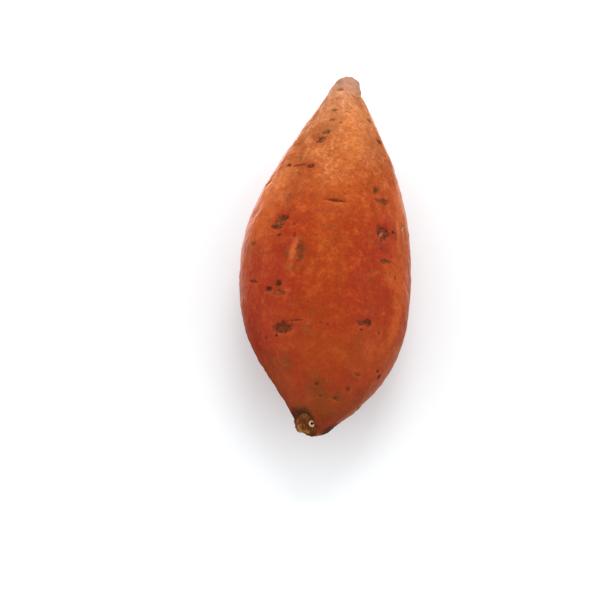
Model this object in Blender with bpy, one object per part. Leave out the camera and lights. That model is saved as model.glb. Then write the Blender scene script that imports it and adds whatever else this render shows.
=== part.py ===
# Sweet potato, one whole root as dug and washed, lying on its side on a small flat spot.
# Metres, +Z up. The root end, with its snapped tail, points to -Y and the crown end to +Y.
# The origin is at the bottom centre of the root's own box.

import math

import bmesh
import bpy
import numpy as np
from mathutils import Matrix, Vector

MM = 0.001

# Driving sizes
LENGTH = 150 * MM
WIDTH = 67 * MM
THICKNESS = 60 * MM

# The outline seen from above: share of the length from the root end, then the left and
# the right edge as shares of the greatest width.
OUTLINE = (
    (0.00, -0.070, 0.075),
    (0.03, -0.100, 0.118),
    (0.07, -0.155, 0.213),
    (0.12, -0.235, 0.307),
    (0.20, -0.367, 0.409),
    (0.30, -0.470, 0.475),
    (0.40, -0.516, 0.475),
    (0.50, -0.522, 0.457),
    (0.60, -0.468, 0.428),
    (0.70, -0.383, 0.371),
    (0.80, -0.278, 0.278),
    (0.90, -0.156, 0.163),
    (0.95, -0.103, 0.102),
    (0.97, -0.080, 0.087),
    (1.00, -0.050, 0.070),
)
ROOT_CAP = 4.5 * MM  # how far from the end the rounding of each tip begins
CROWN_CAP = 2.5 * MM

# The midline bows gently, so that both ends stand clear of what the root lies on.
END_RISE = 2.0 * MM
SQUARENESS = 2.15  # exponent of the cross-section: 2 is an ellipse

# Shallow furrows along the root, where its side roots grew: angle from the top towards
# +X in degrees, and depth.
FURROWS = ((-32, 1.0 * MM), (40, 1.2 * MM), (112, 0.9 * MM), (184, 0.7 * MM), (256, 1.0 * MM))
FURROW_HALF_WIDTH = 9  # degrees
FURROW_WANDER = 4  # degrees

# Broad swellings: waves around, waves along, phase in degrees, height
SWELLINGS = ((2, 1.0, 70, 0.45 * MM), (3, 1.5, 200, 0.40 * MM), (4, -2.0, 20, 0.20 * MM))

# Pits left by side roots: share of the length, angle in degrees, radius, depth
ROOT_PITS = (
    (0.86, -22, 2.2 * MM, 0.5 * MM),
    (0.76, -30, 3.2 * MM, 0.9 * MM),
    (0.60, -33, 3.4 * MM, 0.8 * MM),
    (0.42, -31, 3.0 * MM, 0.6 * MM),
    (0.31, -27, 3.8 * MM, 0.8 * MM),
    (0.67, 42, 2.8 * MM, 0.6 * MM),
    (0.58, 44, 3.4 * MM, 0.9 * MM),
    (0.33, 30, 3.6 * MM, 0.8 * MM),
    (0.80, 108, 2.8 * MM, 0.7 * MM),
    (0.64, 114, 3.4 * MM, 0.8 * MM),
    (0.44, 116, 3.6 * MM, 0.9 * MM),
    (0.24, 108, 3.0 * MM, 0.8 * MM),
    (0.62, 188, 3.4 * MM, 0.8 * MM),
    (0.34, 180, 3.2 * MM, 0.8 * MM),
    (0.79, 250, 2.8 * MM, 0.7 * MM),
    (0.56, 258, 3.6 * MM, 0.9 * MM),
    (0.29, 254, 3.4 * MM, 0.8 * MM),
)

# The snapped tail at the root end: a short tapered stub beside the rounded tip.
TAIL_FOOT = (-1.5 * MM, 16.0 * MM, 0.5 * MM)  # across, along from the root end, up from the midline
TAIL_END = (-3.0 * MM, 0.2 * MM, 2.6 * MM)
TAIL_FOOT_RADIUS = 9.0 * MM
TAIL_END_RADIUS = 4.3 * MM
TAIL_SIDES = 18
TAIL_RINGS = 6

FLAT_DEPTH = 0.5 * MM  # how much of the belly is flat where it lies

SEGMENTS = 72
RINGS = 64
END_CROWDING = 0.5  # 0 spaces the rings evenly, 1 crowds them most towards the tips

SKIN_COLOUR = (0.53, 0.12, 0.035, 1.0)
SKIN_ROUGHNESS = 0.5


def smooth_curve(stations, values, shares):
    """Cubic curve through the stations, with each slope taken from its two neighbours."""
    stations, values = np.asarray(stations, float), np.asarray(values, float)
    slopes = np.gradient(values, stations)
    i = np.clip(np.searchsorted(stations, shares) - 1, 0, len(stations) - 2)
    step = stations[i + 1] - stations[i]
    u = (shares - stations[i]) / step
    return (
        values[i] * (1 + 2 * u) * (1 - u) ** 2
        + slopes[i] * step * u * (1 - u) ** 2
        + values[i + 1] * u * u * (3 - 2 * u)
        + slopes[i + 1] * step * u * u * (u - 1)
    )


def tip_rounding(shares):
    """1 along the root, falling to 0 at both tips as a quarter ellipse."""
    along = shares * LENGTH
    from_root = np.clip(along / ROOT_CAP, 0, 1)
    from_crown = np.clip((LENGTH - along) / CROWN_CAP, 0, 1)
    return np.sqrt(1 - (1 - from_root) ** 2) * np.sqrt(1 - (1 - from_crown) ** 2)


def turn_between(angles, target):
    """Signed difference of two angles in degrees, from -180 to 180."""
    return (angles - target + 180) % 360 - 180


def relief(shares, angles, radius):
    """Height of furrows, swellings and pits over the plain body, in metres."""
    body = np.sin(math.pi * np.clip(shares, 0, 1)) ** 0.7
    height = np.zeros_like(shares)
    for number, (angle, depth) in enumerate(FURROWS):
        wander = FURROW_WANDER * np.sin(2 * math.pi * (1.3 * shares + 0.37 * number))
        strength = 0.65 + 0.35 * np.sin(2 * math.pi * (2.1 * shares + 0.61 * number))
        away = turn_between(angles, angle + wander) / FURROW_HALF_WIDTH
        height -= depth * strength * body * np.exp(-(away**2))
    for around, along, phase, size in SWELLINGS:
        height += size * body * np.cos(np.radians(around * angles + 360 * along * shares + phase))
    for share, angle, pit_radius, depth in ROOT_PITS:
        across = np.radians(turn_between(angles, angle)) * radius
        away = np.hypot(across, (shares - share) * LENGTH) / pit_radius
        height -= depth * np.exp(-((away / 0.7) ** 2))
        height += 0.25 * depth * np.exp(-(((away - 1.1) / 0.35) ** 2))
    return height


def surface(shares, angles):
    """Points of the root's skin: shares of the length from the root end, angles in degrees
    from the top towards +X. The midline's own frame: x across, y along, z up."""
    stations, left, right = np.array(OUTLINE).T
    low = smooth_curve(stations, left, shares) * WIDTH
    high = smooth_curve(stations, right, shares) * WIDTH
    half_width = (high - low) / 2
    fullness = 2 * half_width / WIDTH
    half_height = half_width * (1 - (1 - THICKNESS / WIDTH) * fullness)
    rounding = tip_rounding(shares)
    sine, cosine = np.sin(np.radians(angles)), np.cos(np.radians(angles))
    squared = (np.abs(sine) ** SQUARENESS + np.abs(cosine) ** SQUARENESS) ** (-1 / SQUARENESS)
    reach = rounding * squared * (1 + relief(shares, angles, half_width) / half_width)
    x = (low + high) / 2 + half_width * reach * sine
    y = (shares - 0.5) * LENGTH
    z = END_RISE * (2 * shares - 1) ** 2 + half_height * reach * cosine
    return np.stack([x, y, z], axis=-1)


def ring_shares():
    u = np.linspace(0, 1, RINGS + 2)
    crowded = (1 - np.cos(math.pi * u)) / 2
    return (1 - END_CROWDING) * u + END_CROWDING * crowded


def closed_loft(rings, first_tip, last_tip):
    """A closed mesh from equal rings of points, joined at each end to a single tip."""
    mesh = bmesh.new()
    loops = [[mesh.verts.new(point) for point in ring] for ring in rings]
    tips = mesh.verts.new(first_tip), mesh.verts.new(last_tip)
    count = len(loops[0])
    for i in range(count):
        k = (i + 1) % count
        mesh.faces.new((tips[0], loops[0][i], loops[0][k]))
        mesh.faces.new((tips[1], loops[-1][k], loops[-1][i]))
        for below, above in zip(loops, loops[1:]):
            mesh.faces.new((below[i], above[i], above[k], below[k]))
    bmesh.ops.recalc_face_normals(mesh, faces=mesh.faces)
    return mesh


def make_body():
    """The swollen root itself."""
    angles = np.arange(SEGMENTS) * 360 / SEGMENTS
    shares = ring_shares()
    rings = [surface(np.full(SEGMENTS, share), angles) for share in shares[1:-1]]
    tips = [surface(np.array([share]), np.array([0.0]))[0] for share in (shares[0], shares[-1])]
    return closed_loft(rings, *tips)


def midline(along):
    """A point on the root's midline, this far from the root end."""
    share = np.array([along / LENGTH])
    top, under = surface(share, np.array([0.0])), surface(share, np.array([180.0]))
    return Vector((top[0] + under[0]) / 2)


def make_tail():
    """The snapped tail: a tapered, slightly lumpy stub with a slanting, sunken end."""

    def placed(spot):
        across, along, up = spot
        return Vector((across, along - LENGTH / 2, midline(along).z + up))

    foot, end = placed(TAIL_FOOT), placed(TAIL_END)
    way = (end - foot).normalized()
    side = way.cross(Vector((0, 0, 1))).normalized()
    up = side.cross(way)
    rings = []
    for number in range(TAIL_RINGS):
        share = number / (TAIL_RINGS - 1)
        radius = TAIL_FOOT_RADIUS + (TAIL_END_RADIUS - TAIL_FOOT_RADIUS) * share**0.6
        ring = []
        for i in range(TAIL_SIDES):
            angle = 2 * math.pi * i / TAIL_SIDES
            lump = 1 + 0.05 * math.sin(3 * angle + 4 * share) + 0.03 * math.sin(5 * angle)
            slant = 0.5 * MM * share * math.sin(angle + 0.6) + 0.25 * MM * share * math.sin(3 * angle)
            spoke = math.cos(angle) * side + math.sin(angle) * up
            ring.append(foot + (end - foot) * share + spoke * radius * lump + way * slant)
        rings.append(ring)
    rim = rings[-1]
    middle = sum(rim, Vector()) / len(rim)
    rings.append([point.lerp(middle, 0.25) for point in rim])
    return closed_loft(rings, foot, middle - way * 0.6 * MM)


def settle(mesh):
    """Lowers the root to the ground, and cuts its belly flat at z = 0."""
    lowest = min(vert.co.z for vert in mesh.verts)
    mesh.transform(Matrix.Translation((0, 0, -lowest - FLAT_DEPTH)))
    cut = bmesh.ops.bisect_plane(
        mesh,
        geom=[*mesh.verts, *mesh.edges, *mesh.faces],
        plane_co=(0, 0, 0),
        plane_no=(0, 0, -1),
        clear_outer=True,
    )
    rim = [part for part in cut["geom_cut"] if isinstance(part, bmesh.types.BMEdge)]
    bmesh.ops.contextual_create(mesh, geom=rim)
    bmesh.ops.recalc_face_normals(mesh, faces=mesh.faces)


def centre_on_origin(mesh):
    """Moves the root sideways until its box is centred over the origin."""
    lows = [min(vert.co[axis] for vert in mesh.verts) for axis in (0, 1)]
    highs = [max(vert.co[axis] for vert in mesh.verts) for axis in (0, 1)]
    middle = [(low + high) / 2 for low, high in zip(lows, highs)]
    mesh.transform(Matrix.Translation((-middle[0], -middle[1], 0)))


def as_object(name, mesh):
    data = bpy.data.meshes.new(name)
    mesh.to_mesh(data)
    mesh.free()
    made = bpy.data.objects.new(name, data)
    bpy.context.scene.collection.objects.link(made)
    return made


def joined(body, tail):
    """One closed mesh of the body and the tail that it grew."""
    join = body.modifiers.new("tail grown on", "BOOLEAN")
    join.operation = "UNION"
    join.solver = "EXACT"
    join.object = tail
    bpy.context.view_layer.update()
    evaluated = body.evaluated_get(bpy.context.evaluated_depsgraph_get())
    mesh = bmesh.new()
    mesh.from_mesh(evaluated.to_mesh())
    evaluated.to_mesh_clear()
    for piece in (body, tail):
        bpy.data.objects.remove(piece)
    return mesh


def skin_material():
    material = bpy.data.materials.new("skin")
    material.use_nodes = True
    shader = material.node_tree.nodes["Principled BSDF"]
    shader.inputs["Base Color"].default_value = SKIN_COLOUR
    shader.inputs["Roughness"].default_value = SKIN_ROUGHNESS
    shader.inputs["Metallic"].default_value = 0
    return material


def make_sweet_potato():
    mesh = joined(as_object("body", make_body()), as_object("tail", make_tail()))
    settle(mesh)
    centre_on_origin(mesh)
    root = as_object("sweet_potato", mesh)
    root.data.materials.append(skin_material())
    root.data.shade_smooth()
    root.data.set_sharp_from_angle(angle=math.radians(40))
    return root


for old in list(bpy.data.objects):
    bpy.data.objects.remove(old)
make_sweet_potato()
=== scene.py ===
# Sweet potato: one whole root, lying on its side and seen from above.
# Metres, +Z up. +Y is the crown end, -Y the root end with its snapped tail, as in the frame.

import math

import bmesh
import bpy
import numpy as np
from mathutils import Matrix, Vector
from mathutils.bvhtree import BVHTree


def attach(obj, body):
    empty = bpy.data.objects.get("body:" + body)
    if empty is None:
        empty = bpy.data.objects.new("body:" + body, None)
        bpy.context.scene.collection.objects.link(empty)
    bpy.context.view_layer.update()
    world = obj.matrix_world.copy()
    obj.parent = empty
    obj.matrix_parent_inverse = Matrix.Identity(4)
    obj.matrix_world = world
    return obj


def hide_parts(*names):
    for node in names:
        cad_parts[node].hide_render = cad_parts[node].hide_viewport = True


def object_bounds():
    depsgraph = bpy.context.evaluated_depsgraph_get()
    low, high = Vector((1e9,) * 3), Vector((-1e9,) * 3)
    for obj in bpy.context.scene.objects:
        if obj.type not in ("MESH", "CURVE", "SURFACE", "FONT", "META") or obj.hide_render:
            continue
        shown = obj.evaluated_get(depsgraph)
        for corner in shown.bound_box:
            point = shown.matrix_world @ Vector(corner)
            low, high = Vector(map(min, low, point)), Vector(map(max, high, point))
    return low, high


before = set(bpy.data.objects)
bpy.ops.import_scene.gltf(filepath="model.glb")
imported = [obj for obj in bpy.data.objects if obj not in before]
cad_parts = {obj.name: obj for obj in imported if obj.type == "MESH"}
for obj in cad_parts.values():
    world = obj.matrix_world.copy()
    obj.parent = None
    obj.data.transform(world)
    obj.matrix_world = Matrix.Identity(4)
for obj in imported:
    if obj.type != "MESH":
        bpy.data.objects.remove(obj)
cadLow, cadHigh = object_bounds()
mm = 0.001


# Small helpers for node trees, for shaders and Geometry Nodes alike

def feed(tree, value, socket):
    if isinstance(value, bpy.types.NodeSocket):
        tree.links.new(value, socket)
    else:
        socket.default_value = value


def addNode(tree, kind, inputs=None, **settings):
    node = tree.nodes.new(kind)
    for name, value in settings.items():
        setattr(node, name, value)
    for key, value in (inputs or {}).items():
        feed(tree, value, node.inputs[key])
    return node


def calc(tree, operation, *values):
    node = addNode(tree, "ShaderNodeMath", operation=operation)
    for value, socket in zip(values, node.inputs):
        feed(tree, value, socket)
    return node.outputs[0]


def total(tree, *values):
    result = values[0]
    for value in values[1:]:
        result = calc(tree, "ADD", result, value)
    return result


def product(tree, *values):
    result = values[0]
    for value in values[1:]:
        result = calc(tree, "MULTIPLY", result, value)
    return result


def rise(tree, value, low, high):  # 0 at low, 1 at high, eased; falls where low is the larger
    node = addNode(
        tree,
        "ShaderNodeMapRange",
        {"Value": value, "From Min": low, "From Max": high},
        interpolation_type="SMOOTHSTEP",
    )
    return node.outputs["Result"]


def between(tree, value, low, high):  # turns 0..1 into low..high
    node = addNode(tree, "ShaderNodeMapRange", {"Value": value, "To Min": low, "To Max": high})
    return node.outputs["Result"]


def noiseAt(tree, place, size, detail=2.0, roughness=0.5, seed=0.0, distortion=0.0):
    scale = calc(tree, "DIVIDE", 1.0, size) if isinstance(size, bpy.types.NodeSocket) else 1 / size
    inputs = {"Vector": place, "W": seed, "Scale": scale, "Detail": detail}
    inputs |= {"Roughness": roughness, "Distortion": distortion}
    return addNode(tree, "ShaderNodeTexNoise", inputs, noise_dimensions="4D").outputs[0]


def cellsAt(tree, place, size, feature="F1", output="Distance"):
    node = addNode(tree, "ShaderNodeTexVoronoi", {"Vector": place, "Scale": 1 / size}, feature=feature)
    return node.outputs[output]


def stretched(tree, place, factors):
    node = addNode(tree, "ShaderNodeVectorMath", {0: place, 1: factors}, operation="MULTIPLY")
    return node.outputs[0]


def parts(tree, vector):
    return addNode(tree, "ShaderNodeSeparateXYZ", {0: vector}).outputs[:]


def mixColour(tree, amount, first, second, blend="MIX"):
    node = addNode(tree, "ShaderNodeMix", data_type="RGBA", blend_type=blend)
    for value, socket in zip((amount, first, second), (node.inputs[0], node.inputs[6], node.inputs[7])):
        feed(tree, value, socket)
    return node.outputs[2]


def paint(red, green, blue):  # a colour as a paint program gives it, 0 to 255
    shares = (red / 255, green / 255, blue / 255)
    return (*[c / 12.92 if c <= 0.04045 else ((c + 0.055) / 1.055) ** 2.4 for c in shares], 1)


def ramp(tree, value, stops):  # colours along a value from 0 to 1
    node = addNode(tree, "ShaderNodeValToRGB", {0: value})
    points = node.color_ramp.elements
    while len(points) < len(stops):
        points.new(0.5)
    for point, (position, colour) in zip(points, stops):
        point.position = position
        point.color = colour
    return node.outputs["Color"]


def randomIn(tree, low, high, seed):  # a random number for each point
    node = addNode(tree, "FunctionNodeRandomValue", {2: low, 3: high, "Seed": seed}, data_type="FLOAT")
    return node.outputs[1]


def joinXyz(tree, x, y, z):
    return addNode(tree, "ShaderNodeCombineXYZ", {0: x, 1: y, 2: z}).outputs[0]


def moved(tree, geometry, **where):  # by an Offset, or to a Position
    return addNode(tree, "GeometryNodeSetPosition", {"Geometry": geometry} | where).outputs[0]


def newTree(name, kind, inputs, outputs):  # with its named inputs and outputs
    tree = bpy.data.node_groups.new(name, kind)
    for direction, sockets in (("INPUT", inputs), ("OUTPUT", outputs)):
        for label, (socketType, value) in sockets.items():
            socket = tree.interface.new_socket(name=label, in_out=direction, socket_type=socketType)
            if value is not None:
                socket.default_value = value
    return tree, tree.nodes.new("NodeGroupInput").outputs, tree.nodes.new("NodeGroupOutput").inputs


def finishTree(tree, geometry, given, made):  # every tree ends as plain mesh with its material
    whole = addNode(tree, "GeometryNodeRealizeInstances", {"Geometry": geometry})
    coated = addNode(
        tree, "GeometryNodeSetMaterial", {"Geometry": whole.outputs[0], "Material": given["Material"]}
    )
    tree.links.new(coated.outputs[0], made["Geometry"])


# The form of the root: the sizes of the frame, and finer forms at its two ends

rootShape = {
    "length": 150 * mm,
    "width": 67 * mm,
    "thickness": 60 * mm,
    # share of the length from the root end, then the left and right edge as shares of the width
    "outline": (
        (0.00, -0.070, 0.075),
        (0.03, -0.100, 0.118),
        (0.07, -0.155, 0.213),
        (0.12, -0.235, 0.307),
        (0.20, -0.367, 0.409),
        (0.30, -0.470, 0.475),
        (0.40, -0.516, 0.475),
        (0.50, -0.522, 0.457),
        (0.60, -0.468, 0.428),
        (0.70, -0.383, 0.371),
        (0.80, -0.278, 0.278),
        (0.90, -0.160, 0.163),
        (0.95, -0.113, 0.102),
        (0.97, -0.088, 0.087),
        (1.00, -0.050, 0.070),
    ),
    "rootCap": 4.5 * mm,
    "crownCap": 2.5 * mm,
    "endRise": 2.0 * mm,
    "squareness": 2.15,
    # angle from the top towards +X in degrees, and depth
    "furrows": ((-32, 1.0 * mm), (40, 1.2 * mm), (112, 0.9 * mm), (184, 0.7 * mm), (256, 1.0 * mm)),
    "furrowHalfWidth": 9,
    "furrowWander": 4,
    # waves around, waves along, phase in degrees, height
    "swellings": ((2, 1.0, 70, 0.45 * mm), (3, 1.5, 200, 0.40 * mm), (4, -2.0, 20, 0.20 * mm)),
    # share of the length, angle, radius, depth
    "pits": (
        (0.86, -22, 2.2 * mm, 0.5 * mm),
        (0.76, -30, 3.2 * mm, 0.9 * mm),
        (0.60, -33, 3.4 * mm, 0.8 * mm),
        (0.42, -31, 3.0 * mm, 0.6 * mm),
        (0.31, -27, 3.8 * mm, 0.8 * mm),
        (0.67, 42, 2.8 * mm, 0.6 * mm),
        (0.58, 44, 3.4 * mm, 0.9 * mm),
        (0.33, 30, 3.6 * mm, 0.8 * mm),
        (0.80, 108, 2.8 * mm, 0.7 * mm),
        (0.64, 114, 3.4 * mm, 0.8 * mm),
        (0.44, 116, 3.6 * mm, 0.9 * mm),
        (0.24, 108, 3.0 * mm, 0.8 * mm),
        (0.62, 188, 3.4 * mm, 0.8 * mm),
        (0.34, 180, 3.2 * mm, 0.8 * mm),
        (0.79, 250, 2.8 * mm, 0.7 * mm),
        (0.56, 258, 3.6 * mm, 0.9 * mm),
        (0.29, 254, 3.4 * mm, 0.8 * mm),
    ),
    # the snapped tail: across, along from the root end, up from the midline
    "tailFoot": (-1.5 * mm, 16.0 * mm, 0.5 * mm),
    "tailEnd": (-3.3 * mm, 0.2 * mm, 2.6 * mm),
    "tailFootRadius": 9.0 * mm,
    "tailEndRadius": 3.7 * mm,
    "tailFillet": 1.4 * mm,  # how softly the tail grows out of the root
    "tailRim": 0.5 * mm,  # how rounded the edge of its broken end is
    "breakBack": 1.3 * mm,  # the break starts this far short of the end, on the lower side
    "breakSlant": 0.52,  # and runs back by this much for each step up
    "breakHollow": 1.1 * mm,  # the soft middle has shrunk in
    "lipHeight": 0.8 * mm,  # a pale torn lip stands on the lower left of the break
    "lipTurn": -115,
    # a groove below the knob of the crown: share, half width, depth, angle where it is deepest
    "collar": (0.944, 1.5 * mm, 0.55 * mm, 70),
}

skinMesh = {
    "cellsAcross": 88,  # on each of the four long sides, so four times this all the way round
    "cellsAlong": 220,
    "rootCapDepth": 14 * mm,  # the two ends are covered by fans of rays from points this deep inside
    "crownCapDepth": 11 * mm,
    "rayLength": 40 * mm,  # longer than any ray from there to the skin
}


def smoothCurve(stations, values, shares):  # cubic, with each slope taken from the two neighbours
    slopes = np.gradient(values, stations)
    i = np.clip(np.searchsorted(stations, shares) - 1, 0, len(stations) - 2)
    step = stations[i + 1] - stations[i]
    u = (shares - stations[i]) / step
    return (
        values[i] * (1 + 2 * u) * (1 - u) ** 2
        + slopes[i] * step * u * (1 - u) ** 2
        + values[i + 1] * u * u * (3 - 2 * u)
        + slopes[i + 1] * step * u * u * (u - 1)
    )


def crossSection(shares):  # centre across, centre up, half width, half height
    stations, left, right = np.array(rootShape["outline"]).T
    inside = np.clip(shares, 0, 1)
    low = smoothCurve(stations, left, inside) * rootShape["width"]
    high = smoothCurve(stations, right, inside) * rootShape["width"]
    halfWidth = (high - low) / 2
    flattening = 1 - rootShape["thickness"] / rootShape["width"]
    halfHeight = halfWidth * (1 - flattening * 2 * halfWidth / rootShape["width"])
    return (low + high) / 2, rootShape["endRise"] * (2 * shares - 1) ** 2, halfWidth, halfHeight


def easedStep(values, low, high):
    u = np.clip((values - low) / (high - low), 0, 1)
    return u * u * (3 - 2 * u)


def turnBetween(angles, target):
    return (angles - target + 180) % 360 - 180


def bodyRelief(shares, angles, radius):  # furrows, swellings and pits
    body = np.sin(math.pi * np.clip(shares, 0, 1)) ** 0.7
    height = np.zeros_like(shares)
    for number, (angle, depth) in enumerate(rootShape["furrows"]):
        wander = rootShape["furrowWander"] * np.sin(2 * math.pi * (1.3 * shares + 0.37 * number))
        strength = 0.65 + 0.35 * np.sin(2 * math.pi * (2.1 * shares + 0.61 * number))
        away = turnBetween(angles, angle + wander) / rootShape["furrowHalfWidth"]
        height -= depth * strength * body * np.exp(-(away**2))
    for around, along, phase, size in rootShape["swellings"]:
        height += size * body * np.cos(np.radians(around * angles + 360 * along * shares + phase))
    for share, angle, pitRadius, depth in rootShape["pits"]:
        across = np.radians(turnBetween(angles, angle)) * radius
        away = np.hypot(across, (shares - share) * rootShape["length"]) / pitRadius
        height -= depth * np.exp(-((away / 0.7) ** 2))
        height += 0.25 * depth * np.exp(-(((away - 1.1) / 0.35) ** 2))
    share, grooveWidth, depth, angle = rootShape["collar"]
    lopsided = 0.6 + 0.4 * np.cos(np.radians(angles - angle))
    height -= depth * lopsided * np.exp(-(((shares - share) * rootShape["length"] / grooveWidth) ** 2))
    return height


def skinReach(shares, angles, halfWidth):  # how far out the skin lies, as a share of the half width
    along = shares * rootShape["length"]
    fromRoot = np.clip(along / rootShape["rootCap"], 0, 1)
    fromCrown = np.clip((rootShape["length"] - along) / rootShape["crownCap"], 0, 1)
    rounding = np.sqrt(1 - (1 - fromRoot) ** 2) * np.sqrt(1 - (1 - fromCrown) ** 2)
    power = rootShape["squareness"]
    sine, cosine = np.abs(np.sin(np.radians(angles))), np.abs(np.cos(np.radians(angles)))
    squared = (sine**power + cosine**power) ** (-1 / power)
    return rounding * squared * (1 + bodyRelief(shares, angles, halfWidth) / halfWidth)


def bodySurface(shares, angles):
    x, z, halfWidth, halfHeight = crossSection(shares)
    reach = skinReach(shares, angles, halfWidth)
    return np.stack(
        [
            x + halfWidth * reach * np.sin(np.radians(angles)),
            (shares - 0.5) * rootShape["length"],
            z + halfHeight * reach * np.cos(np.radians(angles)),
        ],
        axis=-1,
    )


def placeOnBody(points):  # the share of the length, the angle, and the reach, of any points
    shares = points[:, 1] / rootShape["length"] + 0.5
    x, z, halfWidth, halfHeight = crossSection(shares)
    sideways, upwards = (points[:, 0] - x) / halfWidth, (points[:, 2] - z) / halfHeight
    return shares, np.degrees(np.arctan2(sideways, upwards)), np.hypot(sideways, upwards)


def tailAxis():
    def placed(spot):
        across, along, up = spot
        lift = rootShape["endRise"] * (2 * along / rootShape["length"] - 1) ** 2
        return np.array([across, along - rootShape["length"] / 2, lift + up])

    return placed(rootShape["tailFoot"]), placed(rootShape["tailEnd"])


def tailPlace(points):  # how far outside the tail's side, and how far past its break, points lie
    foot, end = tailAxis()
    length = np.linalg.norm(end - foot)
    way = (end - foot) / length
    along = (points - foot) @ way
    share = np.clip(along / length, 0, 1)
    spoke = points - foot - np.outer(along, way)
    footRadius, endRadius = rootShape["tailFootRadius"], rootShape["tailEndRadius"]
    turn = np.arctan2(spoke[:, 2], spoke[:, 0])
    lumps = 1 + 0.06 * np.sin(3 * turn + 4 * share) + 0.035 * np.sin(5 * turn)
    offAxis = np.linalg.norm(spoke, axis=1)
    beside = offAxis - (footRadius + share**0.6 * (endRadius - footRadius)) * lumps
    stepBack = rootShape["breakBack"] + rootShape["breakSlant"] * (spoke[:, 2] + endRadius)
    hollow = rootShape["breakHollow"] * np.maximum(0, 1 - (offAxis / (0.8 * endRadius)) ** 2)
    onLip = np.exp(-(((offAxis / endRadius - 0.74) / 0.15) ** 2))
    onLip *= np.clip(1.3 * np.cos(turn - math.radians(rootShape["lipTurn"])), 0, 1)
    past = along - length + stepBack + hollow - rootShape["lipHeight"] * onLip
    past -= 0.3 * mm * np.sin(2 * turn + 0.6) + 0.2 * mm * np.sin(5 * turn)
    return beside, past, along, onLip


def easedLeast(first, second, ease):  # the smaller of the two, rounded where they meet
    overlap = np.maximum(ease - np.abs(first - second), 0) / ease
    return np.minimum(first, second) - overlap**2 * ease / 4


def easedMost(first, second, ease):  # the larger of the two, rounded where they meet
    return -easedLeast(-first, -second, ease)


def depthOutside(points):  # how far points lie outside the root with its tail; negative inside
    shares, angles, reach = placeOnBody(points)
    halfWidth = crossSection(shares)[2]
    outsideBody = (reach - skinReach(shares, angles, halfWidth)) * halfWidth
    beside, past, along = tailPlace(points)[:3]
    outsideTail = np.maximum(easedMost(beside, past, rootShape["tailRim"]), -along)
    whole = easedLeast(outsideBody, outsideTail, rootShape["tailFillet"])
    torn = np.maximum(easedMost(beside, -past, rootShape["tailRim"]), -along)
    return easedMost(whole, -torn, rootShape["tailRim"])


def castOut(origin, ways, rayLength):  # where rays from inside the root first leave it
    step = 1 * mm
    far = np.full(len(ways), rayLength)
    for reach in np.arange(rayLength, 0, -step):
        outside = depthOutside(origin + ways * reach) > 0
        far[outside] = reach
    near = far - step
    for _ in range(30):
        middle = (near + far) / 2
        outside = depthOutside(origin + ways * middle[:, None]) > 0
        near, far = np.where(outside, near, middle), np.where(outside, middle, far)
    return origin + ways * near[:, None]


def wrapOntoRoot(cube):  # takes the points of a cube from -1 to 1 to the skin
    cx, cy, cz = cube.T
    reach = np.maximum(np.abs(cx), np.abs(cz))  # 1 on the four long sides, less on the two ends
    safe = np.maximum(reach, 1e-9)
    angles = np.select(
        [(cz >= np.abs(cx)), (cx >= np.abs(cz)), (-cz >= np.abs(cx))],
        [45 * cx / safe, 90 - 45 * cz / safe, 180 - 45 * cx / safe],
        270 + 45 * cz / safe,
    )
    firstShare = skinMesh["rootCapDepth"] / rootShape["length"]
    lastShare = 1 - skinMesh["crownCapDepth"] / rootShape["length"]
    # rings evenly spaced along the slope of the skin
    steps = np.linspace(firstShare, lastShare, 400)
    halfWidth = crossSection(steps)[2]
    travelled = np.concatenate(
        [[0], np.cumsum(np.hypot(np.diff(steps) * rootShape["length"], np.diff(halfWidth)))]
    )
    shares = np.interp((cy + 1) / 2 * travelled[-1], travelled, steps)
    points = bodySurface(shares, angles)
    for side, share in ((-1, firstShare), (1, lastShare)):
        cap = (cy == side) & (reach < 1)
        x, z, halfWidth, halfHeight = crossSection(np.array([share]))
        origin = np.array([x[0], (share - 0.5) * rootShape["length"], z[0]])
        sine, cosine = np.sin(np.radians(angles[cap])), np.cos(np.radians(angles[cap]))
        polar = np.arctan2(halfWidth[0] * sine, halfHeight[0] * cosine)
        tilt = reach[cap] * math.pi / 2
        ways = np.stack(
            [np.sin(tilt) * np.sin(polar), side * np.cos(tilt), np.sin(tilt) * np.cos(polar)], axis=-1
        )
        points[cap] = castOut(origin, ways, skinMesh["rayLength"])
    return points


def cubeGrid():
    mesh = bmesh.new()
    bmesh.ops.create_cube(mesh, size=2)
    for axes, cells in (((1,), skinMesh["cellsAlong"]), ((0, 2), skinMesh["cellsAcross"])):
        edges = [
            edge
            for edge in mesh.edges
            if max(range(3), key=lambda axis: abs(edge.verts[0].co[axis] - edge.verts[1].co[axis])) in axes
        ]
        bmesh.ops.subdivide_edges(mesh, edges=edges, cuts=cells - 1, use_grid_fill=True)
    data = bpy.data.meshes.new("skin")
    mesh.to_mesh(data)
    mesh.free()
    return data


def readPoints(data):
    flat = np.zeros(len(data.vertices) * 3)
    data.vertices.foreach_get("co", flat)
    return flat.reshape(-1, 3)


def writePoints(data, points):
    data.vertices.foreach_set("co", np.ascontiguousarray(points, dtype=np.float32).ravel())
    data.update()


def storeVectors(data, name, values):
    layer = data.attributes.new(name, "FLOAT_VECTOR", "POINT")
    layer.data.foreach_set("vector", np.ascontiguousarray(values, dtype=np.float32).ravel())


def addObject(name, data):
    made = bpy.data.objects.new(name, data)
    bpy.context.scene.collection.objects.link(made)
    return made


# Marks on the skin: share of the length, angle from the top towards +X in degrees, size across and
# along in mm, turn in degrees, depth in mm (below 0 it stands up), tone (below 0 dark red, 0 dark
# brown, 1 grey cork, 1.5 pale scab, 2 scuffed skin), ring (1 where the middle is paler than the edge,
# -1 for a scratch with clean edges)

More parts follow.
